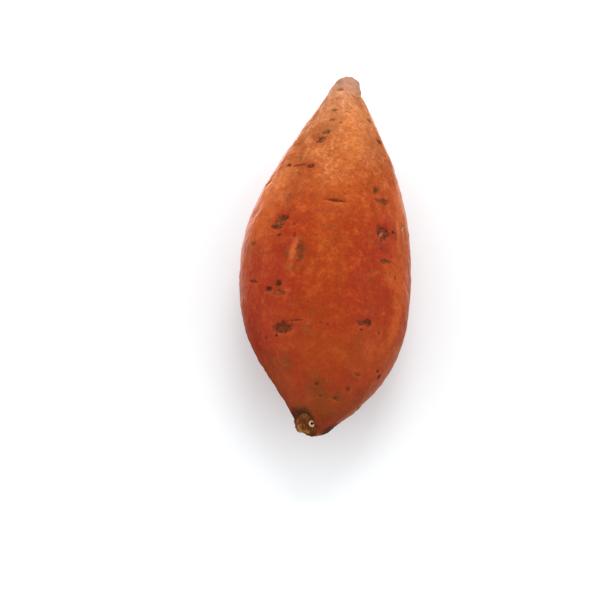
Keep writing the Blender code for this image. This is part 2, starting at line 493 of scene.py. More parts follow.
marks = {
    "seen": (
        (0.942, -15.5, 3.2, 1.9, 10, 0.16, 0.35, 0.0),
        (0.866, -15.8, 3.0, 2.0, 0, 0.22, -0.05, 0.0),
        (0.830, -14.0, 2.6, 1.6, -10, 0.20, 0.15, 0.0),
        (0.820, -2.0, 2.1, 1.2, 25, 0.16, 0.05, 0.0),
        (0.786, -16.6, 3.8, 2.6, 30, 0.22, 0.30, 0.0),
        (0.760, -19.8, 4.4, 3.2, 30, 0.40, -0.10, 0.0),
        (0.852, 47.0, 3.4, 2.2, -14, 0.24, 0.35, 0.0),
        (0.789, 49.5, 3.6, 2.6, -20, 0.28, 0.05, 0.0),
        (0.686, -44.0, 1.7, 1.4, 0, 0.30, 0.00, 0.0),
        (0.681, -33.0, 9.0, 1.0, 2, 0.36, -0.50, -1.0),
        (0.674, -22.0, 3.6, 2.2, 0, 0.50, -0.05, 0.0),
        (0.664, -60.0, 4.6, 2.8, 35, 0.15, 1.50, 0.0),
        (0.645, -63.0, 5.4, 1.2, 35, 0.40, -0.20, -1.0),
        (0.573, 4.2, 9.8, 1.5, 2, 0.40, -0.25, -1.0),
        (0.623, 32.8, 2.8, 3.8, 0, 0.35, 0.15, 0.2),
        (0.598, 39.0, 6.6, 2.6, 4, 0.40, 0.55, 0.3),
        (0.520, -30.6, 5.4, 3.2, -10, 0.36, 0.35, 0.0),
        (0.507, -33.4, 5.6, 4.0, 0, 0.24, 0.75, 0.0),
        (0.497, -35.2, 5.4, 2.2, -14, 0.36, 0.20, 0.0),
        (0.498, -21.5, 1.9, 1.8, 0, 0.15, 0.15, 0.0),
        (0.473, -32.0, 2.6, 1.6, -10, 0.22, 0.10, 0.0),
        (0.467, -20.2, 1.2, 2.8, -10, 0.15, 0.10, 0.0),
        (0.511, 40.5, 5.4, 6.0, 0, 0.80, 0.25, 1.0),
        (0.522, 50.5, 2.0, 1.8, 0, 0.30, 0.30, 0.0),
        (0.461, -54.5, 4.2, 2.2, -22, 0.15, 0.60, 0.3),
        (0.547, 62.5, 2.8, 5.4, 15, 0.12, 1.55, 0.2),
        # a pale stripe along the right flank: a painted reflection of the light, laid as flat scuffed skin
        (0.536, 55.5, 2.0, 13.0, 4, 0.00, 2.00, 0.0),
        (0.436, 43.5, 5.0, 2.0, 4, 0.40, 0.60, 0.4),
        (0.360, -54.0, 7.4, 1.6, -20, 0.20, 0.10, -0.4),
        (0.343, -31.7, 2.7, 2.7, 0, 0.50, 0.00, 0.0),
        (0.331, -39.5, 3.4, 2.4, -20, 0.30, 0.25, 0.0),
        (0.322, -32.0, 5.2, 2.6, -12, 0.20, 0.65, 0.0),
        (0.253, -20.5, 6.4, 0.9, -4, 0.13, 0.15, -0.8),
        (0.237, -33.0, 8.2, 4.6, -6, 0.36, 0.10, 0.7),
        (0.246, 2.0, 1.8, 1.4, 20, 0.20, -0.30, 0.0),
        (0.249, -3.0, 4.6, 0.7, 5, 0.06, -0.60, -0.8),
        (0.267, 32.4, 4.2, 3.2, 10, 0.36, 0.15, 0.0),
        (0.263, 26.5, 3.6, 2.6, 10, 0.25, -0.30, 0.3),
        (0.246, 27.5, 2.4, 1.1, -5, 0.15, -0.10, 0.0),
        (0.251, 43.6, 2.1, 1.7, 0, 0.12, 0.05, 0.0),
        (0.219, -40.0, 1.4, 1.3, 0, 0.30, 0.10, 0.0),
        (0.219, -51.5, 2.4, 1.6, 0, 0.15, 0.40, 0.0),
        (0.110, -8.5, 1.8, 1.5, 0, 0.35, 0.10, 0.0),
        (0.084, -2.8, 1.7, 1.4, 0, 0.05, 0.30, 0.0),
        (0.167, 58.8, 2.2, 1.8, 0, 0.18, -0.10, 0.0),
        (0.144, 36.5, 3.0, 1.4, 0, 0.10, -0.30, 0.0),
        (0.157, 68.2, 2.6, 2.0, 0, 0.30, 0.20, 0.0),
        (0.109, 33.5, 2.8, 2.4, 0, 0.08, 0.15, 0.0),
        (0.083, 22.4, 3.4, 2.2, 0, 0.16, 0.25, 0.0),
        (0.426, -15.6, 2.6, 9.6, -8, 0.06, 0.35, 0.0),
        (0.425, -20.8, 2.7, 11.4, -13, -0.25, 2.00, 0.0),  # a raised tongue of scuffed skin
        (0.400, 52.0, 0.8, 2.2, 0, 0.20, 0.20, 0.0),
        (0.700, 20.0, 1.4, 1.2, 0, 0.15, 0.40, 0.0),
    ),
    "hiddenFurrows": (112, 184, 256),  # on the hidden sides the marks follow these furrows
    "hiddenEach": 15,
    "hiddenStrays": 26,
    "seed": 11,
    "influence": 4.0,  # how far a mark is felt, in its own radii
    "ragged": 1.9 * mm,  # sizes of the unevenness of its edge
    "frayed": 0.8 * mm,
}


def hiddenMarks():
    draw = np.random.default_rng(marks["seed"])
    rows = []
    for angle in marks["hiddenFurrows"]:
        shares = np.linspace(0.10, 0.93, marks["hiddenEach"])
        shares += draw.uniform(-0.02, 0.02, marks["hiddenEach"])
        for share in shares:
            size = draw.choice([1.6, 2.6, 4.6, 6.4], p=[0.30, 0.25, 0.25, 0.20])
            flatness = draw.uniform(0.25, 0.9)
            tone, ring = draw.uniform(0, 0.9), float(size > 4) * draw.uniform(0.2, 0.9)
            side = draw.normal(0, 7)
            turn = draw.normal(0, 18)
            depth = 0.15 + 0.1 * size * draw.uniform(0.5, 1)
            rows.append((share, angle + side, size, size * flatness, turn, depth, tone, ring))
    for _ in range(marks["hiddenStrays"]):
        share, angle = draw.uniform(0.08, 0.92), draw.uniform(75, 285)
        across = draw.uniform(1.0, 5.5)
        along = min(across, draw.uniform(0.7, 1.8))
        rows.append((share, angle, across, along, draw.normal(0, 12), 0.25, draw.uniform(0, 0.5), 0.0))
    return rows


def surfaceFrame(share, angle):  # a point of the skin, and its ways across, along and out
    step = 1e-3
    spots = bodySurface(
        np.array([share, share + step, share - step, share, share]),
        np.array([angle, angle, angle, angle + 0.5, angle - 0.5]),
    )
    alongWay = spots[1] - spots[2]
    acrossWay = spots[3] - spots[4]
    alongWay /= np.linalg.norm(alongWay)
    acrossWay -= alongWay * (acrossWay @ alongWay)
    acrossWay /= np.linalg.norm(acrossWay)
    return spots[0], acrossWay, alongWay, np.cross(acrossWay, alongWay)


def markFields(points):  # for each point: place in its nearest mark, and that mark's look
    nearest = np.full(len(points), np.inf)
    place, look = np.zeros((len(points), 3)), np.zeros((len(points), 3))
    for share, angle, across, along, turn, depth, tone, ring in (*marks["seen"], *hiddenMarks()):
        centre, acrossWay, alongWay, outWay = surfaceFrame(share, angle)
        offset = points - centre
        x, y, height = offset @ acrossWay, offset @ alongWay, offset @ outWay
        sine, cosine = math.sin(math.radians(turn)), math.cos(math.radians(turn))
        u = (x * cosine + y * sine) / (across / 2 * mm)
        v = (y * cosine - x * sine) / (along / 2 * mm)
        distance = np.hypot(u, v)
        distance[np.abs(height) > 8 * mm] = np.inf
        closer = distance < nearest
        nearest[closer] = distance[closer]
        place[closer] = np.stack([distance[closer], v[closer], u[closer]], axis=-1)
        look[closer] = depth * mm, tone, ring
    place[nearest > marks["influence"]] = marks["influence"], 0, 0
    return place, look


# Broad zones of colour, painted as soft spots: share of the length, angle, half size across and
# along in mm, strength

zones = {
    "blush": (  # redder skin
        # the first three, low on the left, turn crimson, which there is partly the skin's own red and
        # partly a painted shadow
        (0.22, -62, 11, 14, 0.75),
        (0.14, -48, 8, 9, 0.60),
        (0.31, -52, 10, 12, 0.55),
        (0.41, -46, 8, 10, 0.40),
        (0.34, -28, 5, 7, 0.35),
        (0.52, 46, 5, 16, 0.35),
        (0.475, 41, 2.4, 5.5, 0.60),
        (0.66, 56, 6, 12, 0.30),
        (0.37, 23, 1.8, 8.0, 0.60),
        (0.12, 20, 12, 8, 0.35),
        (0.07, -4, 9, 6, 0.55),
        (0.16, 70, 9, 12, 0.40),
        (0.55, 120, 14, 30, 0.55),
        (0.30, 150, 16, 22, 0.60),
        (0.70, 180, 12, 20, 0.45),
        (0.42, 215, 14, 24, 0.80),
        (0.25, 260, 16, 18, 0.80),
        (0.62, 255, 12, 20, 0.45),
    ),
    "ochre": (  # yellower, earthier skin
        (0.56, 4, 9, 26, 0.85),
        (0.40, 2, 9, 18, 0.75),
        (0.80, 14, 6, 16, 0.80),
        (0.880, 34, 1.8, 7.0, 0.95),
        (0.74, -20, 6, 10, 0.40),
        (0.30, -14, 8, 10, 0.30),
        (0.60, 150, 10, 24, 0.70),
        (0.35, 182, 9, 18, 0.50),
        (0.45, 262, 8, 22, 0.50),
        (0.78, 230, 8, 14, 0.50),
    ),
    "stain": (  # greenish-brown patches, where earth stayed in the skin
        (0.155, -38, 2.8, 4.8, 0.90),
        (0.094, -5, 5.2, 7.0, 1.05),
        (0.050, -8, 7.0, 3.4, 1.10),
        (0.424, -14.8, 2.1, 6.0, 0.90),  # round the scuffed tongue
        (0.410, -25.4, 1.0, 4.4, 0.95),
        (0.382, -21.6, 2.6, 1.1, 0.95),
        (0.793, -17, 4.6, 5.4, 0.95),
        (0.840, -12, 3.0, 2.5, 0.40),
        (0.460, -55, 3.0, 2.0, 0.45),
        (0.565, -64, 3.0, 2.4, 0.50),
        (0.630, 30, 2.6, 3.4, 0.35),
        (0.490, 42, 2.4, 2.0, 0.35),
        (0.090, 24, 2.8, 2.0, 0.90),
        (0.135, 34, 2.0, 2.0, 0.60),
        (0.28, 120, 5.0, 7.0, 0.8),
        (0.52, 190, 4.0, 8.0, 0.7),
        (0.15, 200, 7.0, 6.0, 0.9),
        (0.68, 262, 4.0, 6.0, 0.7),
        (0.85, 150, 5.0, 5.0, 0.6),
    ),
    # painted light: lighter, pinker skin laid on the flanks for the sheen and side light that reach them
    "salmonSheen": (  # lighter, pinker skin, mostly on the flanks
        (0.50, -50, 9, 20, 0.85),
        (0.62, -54, 7, 13, 0.85),
        (0.52, 56, 8, 26, 0.85),
        (0.38, 62, 6, 14, 0.60),
        (0.265, 58, 3.0, 11, 0.85),
        (0.34, -66, 6, 14, 0.40),
        (0.50, 150, 8, 16, 0.50),
        (0.66, 220, 8, 14, 0.60),
        (0.36, 245, 7, 12, 0.50),
    ),
    "dull": (  # browner skin, towards the root end
        (0.07, 6, 15, 8, 0.60),
        (0.14, -60, 8, 10, 0.60),
        (0.10, 90, 12, 10, 0.50),
        (0.24, 200, 10, 16, 0.50),
        (0.06, 180, 14, 8, 0.60),
        (0.12, 270, 10, 10, 0.50),
    ),
    # painted highlights: glints of sheen on the grain, in clusters
    "speckled": (  # clusters of pale specks
        (0.905, 4, 3.5, 3.0, 0.90),
        (0.850, -30, 3.5, 4.0, 0.90),
        (0.670, -6, 3.0, 6.0, 0.90),
        (0.740, -8, 2.5, 6.0, 0.50),
        (0.645, 8, 3.0, 3.0, 0.50),
        (0.780, 160, 5.0, 7.0, 0.60),
        (0.860, 230, 4.0, 6.0, 0.70),
    ),
}


def paintSpots(points, spots):
    amount = np.zeros(len(points))
    for share, angle, across, along, strength in spots:
        centre, acrossWay, alongWay, outWay = surfaceFrame(share, angle)
        offset = (points - centre) / mm
        away = np.hypot(offset @ acrossWay / across, offset @ alongWay / along)
        away = np.hypot(away, offset @ outWay / (1.5 * across + 4))
        amount = 1 - (1 - amount) * (1 - strength * np.exp(-(away**2)))
    return amount


endCoats = {
    "corkFrom": 0.905,  # share of the length where the crown starts to turn to cork, and is all cork
    "corkFull": 0.975,
    "stalkRadius": 2.9 * mm,  # the scar of the stalk, on the tip of the crown
    "stalkFrom": 0.975,
    "stalkFull": 0.990,
    "crustBack": 6.0 * mm,  # how far the crust reaches back from the break
    "crustBeside": 3.2 * mm,  # and out onto the root beside the tail
    "crustFull": 0.4 * mm,
    "seamSize": 2.1 * mm,  # of the plates between the cracks of the crust
    # patches of crust on the root end: share, angle, radius in mm, strength
    "crustPatches": (
        (0.016, 82, 3.2, 1.15),
        (0.030, 96, 2.6, 1.15),
        (0.012, -95, 2.6, 1.15),
        (0.010, 175, 3.0, 1.15),
        (0.020, 12, 3.4, 0.62),
    ),
}


def endZones(points):  # cork at the crown, crust around the tail, and the two torn faces
    shares = points[:, 1] / rootShape["length"] + 0.5
    cork = easedStep(shares, endCoats["corkFrom"], endCoats["corkFull"])
    x, z = crossSection(np.array([1.0]))[:2]
    fromStalk = np.hypot(points[:, 0] - x[0], points[:, 2] - z[0])
    turn = np.arctan2(points[:, 2] - z[0], points[:, 0] - x[0])
    stalkEdge = endCoats["stalkRadius"] * (1 + 0.09 * np.sin(2 * turn + 1) + 0.04 * np.sin(3 * turn))
    stalk = easedStep(shares, endCoats["stalkFrom"], endCoats["stalkFull"])
    stalk *= easedStep(fromStalk / stalkEdge, 1.25, 0.75)
    beside, past, _, onLip = tailPlace(points)
    nearTail = easedStep(beside, endCoats["crustBeside"], endCoats["crustFull"])
    torn = easedStep(past, -0.9 * mm, -0.3 * mm) * easedStep(beside, 0.1 * mm, -0.5 * mm)
    torn *= 1 + onLip  # over 1 on the pale lip
    crust = easedStep(past, -endCoats["crustBack"], -endCoats["crustBack"] / 2) * nearTail
    beyond = (points - tailAxis()[1]) / mm  # less of it on the lower right
    crust *= 1 - 0.85 * easedStep(beyond[:, 0], 1.8, 3.6) * easedStep(beyond[:, 2], 4.5, 2.0)
    for share, angle, radius, strength in endCoats["crustPatches"]:
        away = np.linalg.norm(points - surfaceFrame(share, angle)[0], axis=1) / (radius * mm)
        crust = np.maximum(crust, strength * np.exp(-(away**2)))
    return np.stack([cork, crust, np.maximum(torn, stalk)], axis=-1)


def makeBareSkin():
    data = cubeGrid()
    points = wrapOntoRoot(readPoints(data))
    place, look = markFields(points)
    storeVectors(data, "markPlace", place)
    storeVectors(data, "markLook", look)
    spots = [paintSpots(points, zones[name]) for name in zones]
    storeVectors(data, "zones", np.stack(spots[:3], axis=-1))
    storeVectors(data, "moreZones", np.stack(spots[3:], axis=-1))
    storeVectors(data, "ends", endZones(points))
    # the frame's own box gives the place
    shift = np.array([*((cadLow + cadHigh) / 2)[:2], cadHigh.z])
    shift -= np.array([*((points.min(0) + points.max(0)) / 2)[:2], points[:, 2].max()])
    writePoints(data, points + shift)
    for polygon in data.polygons:
        polygon.use_smooth = True
    return addObject("sweetPotatoSkin", data), shift


skin, rootShift = makeBareSkin()
print("bare skin:", len(skin.data.vertices), "vertices, shift in mm", (rootShift / mm).round(2))


# Marks, cork and grain, shared by the relief and the colours, so that they fall on the same places

def attribute(tree, name):  # a vector stored on the mesh
    if tree.type == "GEOMETRY":
        node = addNode(tree, "GeometryNodeInputNamedAttribute", {"Name": name}, data_type="FLOAT_VECTOR")
        return node.outputs["Attribute"]
    node = addNode(tree, "ShaderNodeAttribute", attribute_name=name, attribute_type="GEOMETRY")
    return node.outputs["Vector"]


def markAt(tree, place):  # a mark's fields: away is 0 in its middle and 1 at its ragged edge
    distance, lean, side = parts(tree, attribute(tree, "markPlace"))
    depth, tone, ring = parts(tree, attribute(tree, "markLook"))
    coarse = noiseAt(tree, place, marks["ragged"], 2.0, 0.6, 3.3)
    fine = noiseAt(tree, place, marks["frayed"], 1.0, 0.5, 8.0)
    ragged = total(tree, product(tree, coarse, 1.8), product(tree, fine, 0.7), -1.25)
    # a scratch, where ring is below 0, has cleaner edges
    ragged = product(tree, ragged, between(tree, calc(tree, "MULTIPLY", ring, -1.0), 1.0, 0.4))
    return {
        "away": total(tree, distance, ragged),
        "lean": lean,
        "side": side,
        "depth": depth,
        "tone": tone,
        "ring": calc(tree, "MAXIMUM", ring, 0.0),
    }


def crustSeams(tree, place, width):  # 1 on the cracks of the crust
    plates = cellsAt(tree, place, endCoats["seamSize"], "DISTANCE_TO_EDGE")
    return rise(tree, plates, width, 0.0)


skinRelief = {
    "Swell Height": 0.55 * mm,
    "Swell Size": 15 * mm,
    "Ridge Height": 0.85 * mm,
    "Ridge Size": 6.5 * mm,
    "Dimple Height": 0.40 * mm,
    "Dimple Size": 5.0 * mm,
    "Pimple Height": 0.22 * mm,
    "Pimple Size": 1.9 * mm,
    "Crumb Height": 0.6 * mm,  # in the scars
    "Lump Height": 1.5 * mm,  # on the cork and the crust
    "Crack Depth": 0.30 * mm,
    "Seed": 4.0,
}


def reliefTree():
    tree, given, made = newTree(
        "skinRelief",
        "GeometryNodeTree",
        {"Geometry": ("NodeSocketGeometry", None), "Material": ("NodeSocketMaterial", None)}
        | {label: ("NodeSocketFloat", value) for label, value in skinRelief.items()},
        {"Geometry": ("NodeSocketGeometry", None)},
    )
    place = tree.nodes.new("GeometryNodeInputPosition").outputs[0]
    cork, crust = parts(tree, attribute(tree, "ends"))[:2]

    def waves(label, detail, seedStep, spot=place):
        seed = total(tree, given["Seed"], seedStep)
        noise = noiseAt(tree, spot, given[label + " Size"], detail, 0.5, seed)
        return product(tree, total(tree, noise, -0.5), given[label + " Height"], 2.0)

    crownward = rise(tree, parts(tree, place)[1], 0 * mm, 40 * mm)
    ridges = waves("Ridge", 1.0, 3.0, stretched(tree, place, (1, 0.13, 1)))
    mark = markAt(tree, place)
    away = mark["away"]
    inside = rise(tree, away, 1.15, 0.3)
    middle = product(tree, rise(tree, away, 0.75, 0.1), mark["ring"])
    lip = product(tree, rise(tree, away, 0.85, 1.25), rise(tree, away, 2.1, 1.3))
    sunk = total(tree, product(tree, inside, -1.0), product(tree, middle, 0.8), product(tree, lip, 0.2))
    crumbs = product(
        tree,
        inside,
        rise(tree, mark["tone"], 1.9, 1.6),
        total(tree, noiseAt(tree, place, 1.1 * mm, 2.0, 0.6, 5.0), -0.5),
        given["Crumb Height"],
    )
    coarse = noiseAt(tree, place, 3.2 * mm, 2.0, 0.6, 9.0)
    coated = total(tree, product(tree, cork, 0.7), crust)
    lumps = product(tree, coated, total(tree, coarse, -0.5), given["Lump Height"])
    seams = product(tree, crust, crustSeams(tree, place, 0.18))
    height = total(
        tree,
        waves("Swell", 1.0, 0.0),
        product(tree, ridges, between(tree, crownward, 0.15, 1.0)),
        waves("Dimple", 2.0, 1.0),
        product(tree, waves("Pimple", 1.0, 2.0), between(tree, crownward, 0.5, 1.3)),
        product(tree, sunk, mark["depth"]),
        crumbs,
        product(tree, seams, given["Crack Depth"], -1.0),
        lumps,
    )
    normal = tree.nodes.new("GeometryNodeInputNormal").outputs[0]
    offset = addNode(tree, "ShaderNodeVectorMath", {0: normal, "Scale": height}, operation="SCALE")
    raised = moved(tree, given["Geometry"], Offset=offset.outputs[0])
    # the belly stays flat where it lies
    x, y, z = parts(tree, tree.nodes.new("GeometryNodeInputPosition").outputs[0])
    grounded = joinXyz(tree, x, y, calc(tree, "MAXIMUM", z, 0.0))
    finishTree(tree, moved(tree, raised, Position=grounded), given, made)
    return tree


def grow(carrier, tree, values, name):  # runs a tree on a carrier and keeps the result as a plain mesh
    modifier = carrier.modifiers.new(tree.name, "NODES")
    modifier.node_group = tree
    for socket in tree.interface.items_tree:
        if socket.item_type == "SOCKET" and socket.in_out == "INPUT" and socket.name in values:
            modifier[socket.identifier] = values[socket.name]
    bpy.context.view_layer.update()
    evaluated = carrier.evaluated_get(bpy.context.evaluated_depsgraph_get())
    data = bpy.data.meshes.new_from_object(evaluated)
    carrier.modifiers.remove(modifier)
    data.name = name
    return data


def rideRoot(name, data):
    made = addObject(name, data)
    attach(made, "root")
    print(name + ":", len(data.polygons), "faces")


# Mottling that every finish shares: it lightens and darkens a colour and gives the bump its height

def mottleGroup():
    tree, given, made = newTree(
        "mottling",
        "ShaderNodeTree",
        {
            "Colour": ("NodeSocketColor", (0.5, 0.5, 0.5, 1)),
            "Light Flecks": ("NodeSocketColor", (0.8, 0.8, 0.8, 1)),
            "Place": ("NodeSocketVector", None),
            "Patch Size": ("NodeSocketFloat", 5 * mm),
            "Speck Size": ("NodeSocketFloat", 0.9 * mm),
            "Streak Size": ("NodeSocketFloat", 1.5 * mm),
            "Contrast": ("NodeSocketFloat", 0.3),
            "Seed": ("NodeSocketFloat", 0.0),
        },
        {
            "Colour": ("NodeSocketColor", None),
            "Patch": ("NodeSocketFloat", None),
            "Height": ("NodeSocketFloat", None),
        },
    )
    place, seed = given["Place"], given["Seed"]
    patch = noiseAt(tree, place, given["Patch Size"], 3.0, 0.6, seed)
    speck = noiseAt(tree, place, given["Speck Size"], 3.0, 0.65, total(tree, seed, 1.0))
    drawnOut = stretched(tree, place, (1, 0.4, 1))
    streak = noiseAt(tree, drawnOut, given["Streak Size"], 2.0, 0.6, total(tree, seed, 2.0))
    weighed = (product(tree, patch, 0.8), product(tree, speck, 1.3), product(tree, streak, 0.3))
    mixed = total(tree, *weighed, -1.2)
    bright = total(tree, 1.0, product(tree, mixed, given["Contrast"]))
    tint = joinXyz(tree, bright, product(tree, bright, bright), product(tree, bright, bright, bright))
    mottled = mixColour(tree, 1.0, given["Colour"], tint, "MULTIPLY")
    flecks = product(tree, rise(tree, total(tree, speck, patch), 0.95, 1.35), given["Contrast"], 0.26)
    tree.links.new(mixColour(tree, flecks, mottled, given["Light Flecks"]), made["Colour"])
    tree.links.new(patch, made["Patch"])
    height = total(tree, product(tree, speck, 1.2), product(tree, streak, 0.2))
    tree.links.new(height, made["Height"])
    return tree


mottling = mottleGroup()


def mottle(tree, colour, light, place, **values):
    node = addNode(tree, "ShaderNodeGroup", node_tree=mottling)
    for name, value in ({"Colour": colour, "Light Flecks": light, "Place": place} | values).items():
        feed(tree, value, node.inputs[name])
    return node.outputs


def finishShader(tree, colour, roughness, height, depth, gloss):
    shader = tree.nodes["Principled BSDF"]
    bump = addNode(tree, "ShaderNodeBump", {"Height": height, "Distance": depth, "Strength": 1.0})
    tree.links.new(colour, shader.inputs["Base Color"])
    feed(tree, roughness, shader.inputs["Roughness"])
    tree.links.new(bump.outputs[0], shader.inputs["Normal"])
    shader.inputs["Specular IOR Level"].default_value = gloss
    shader.inputs["Specular Tint"].default_value = paint(255, 212, 184)


def newMaterial(name):
    material = bpy.data.materials.new(name)
    material.use_nodes = True
    tree = material.node_tree
    return material, tree, addNode(tree, "ShaderNodeTexCoord").outputs["Object"]


# The skin's own finish

skinColours = {
    # from the root end to the crown, by the share of the length; darker towards the root end and paler
    # towards the crown, partly the skin's own colour and partly painted light from the crown side
    "lengthwise": (
        (0.00, paint(128, 40, 12)),
        (0.07, paint(140, 46, 12)),
        (0.18, paint(159, 59, 12)),
        (0.32, paint(152, 38, 4)),
        (0.50, paint(156, 43, 3)),
        (0.62, paint(166, 66, 9)),
        (0.74, paint(162, 76, 25)),
        (0.86, paint(180, 108, 60)),
        (0.94, paint(182, 122, 86)),
        (1.00, paint(176, 128, 104)),
    ),
    "ochre": paint(162, 60, 3),
    # the Crown forms are paler, partly the skin's own colour and partly a painted highlight
    "ochreCrown": paint(196, 110, 38),
    "blush": paint(158, 42, 12),
    # crimson: the skin's deepest red, low on the left also a painted shadow
    "crimson": paint(128, 22, 7),
    "pale": paint(206, 106, 30),
    "paleCrown": paint(218, 136, 92),
    "salmonSheen": paint(178, 72, 18),
    # the next two: lighter, pinker skin, painted sheen and side light on the flanks
    "salmonSheenCrown": paint(204, 112, 60),
    "lightFleck": paint(214, 116, 42),
    # glints of sheen on the grain, painted as pale specks
    "glintSpeck": paint(234, 174, 116),
    "earth": paint(112, 62, 20),
    "earthCrown": paint(146, 86, 30),
    "dusk": paint(128, 62, 14),
    "duskCrown": paint(160, 82, 26),
    "cork": paint(182, 136, 112),
    "corkCrack": paint(130, 88, 66),
    "crust": paint(70, 32, 8),
    "crustPale": paint(108, 58, 22),
    "torn": paint(136, 72, 34),
    "tornPale": paint(206, 142, 82),
    "scarDark": paint(60, 27, 6),
    "scarBrown": paint(94, 47, 15),
    "scarGrey": paint(122, 72, 34),
    "scarPale": paint(176, 124, 88),
    "scarRed": paint(112, 40, 16),
    "scab": paint(198, 152, 114),
    # scuffed skin, also used for a painted reflection on the right flank
    "scuffAndSheen": paint(208, 108, 58),
}

# size, detail, roughness and seed of each noise in the skin's colours
skinPatterns = {
    "broad": (22 * mm, 2.0, 0.5, 1.0),
    "blotch": (6 * mm, 3.0, 0.6, 2.0),
    "dusky": (8 * mm, 4.0, 0.65, 12.0),
    "loose": (7 * mm, 1.0, 0.5, 16.0),
    "middling": (3.2 * mm, 2.0, 0.55, 15.0),
    "pimples": (1.4 * mm, 2.0, 0.6, 14.0),
    "fleck": (1.3 * mm, 2.0, 0.55, 21.0),
    "grain": (0.9 * mm, 2.0, 0.6, 6.0),
    "fibre": (0.7 * mm, 3.0, 0.6, 4.0),
}

skinStrengths = {  # how much of each layer shows, where it is strongest
    "ochre": 0.70,
    "crimson": 0.85,
    "paleBlotches": 0.26,
    "duskyBlotches": 0.33,
    "palePatches": 0.20,
    "duskyPatches": 0.27,
    # painted glints on the grain
    "glintSpecks": 0.62,
    "dull": 0.55,
    "mottling": 0.48,
    "earth": 0.58,
    "cork": 0.85,
    "crust": 0.95,
    "tornGrain": 0.70,
    "tornLip": 0.85,
    "markHalo": 0.70,
    # the next is the painted highlight on the rootward rim of marks
    "markLitLip": 0.14,
    "markCore": 0.75,
}

skinWax = {"Coat Weight": 0.28, "Coat Roughness": 0.26, "Coat IOR": 1.36}


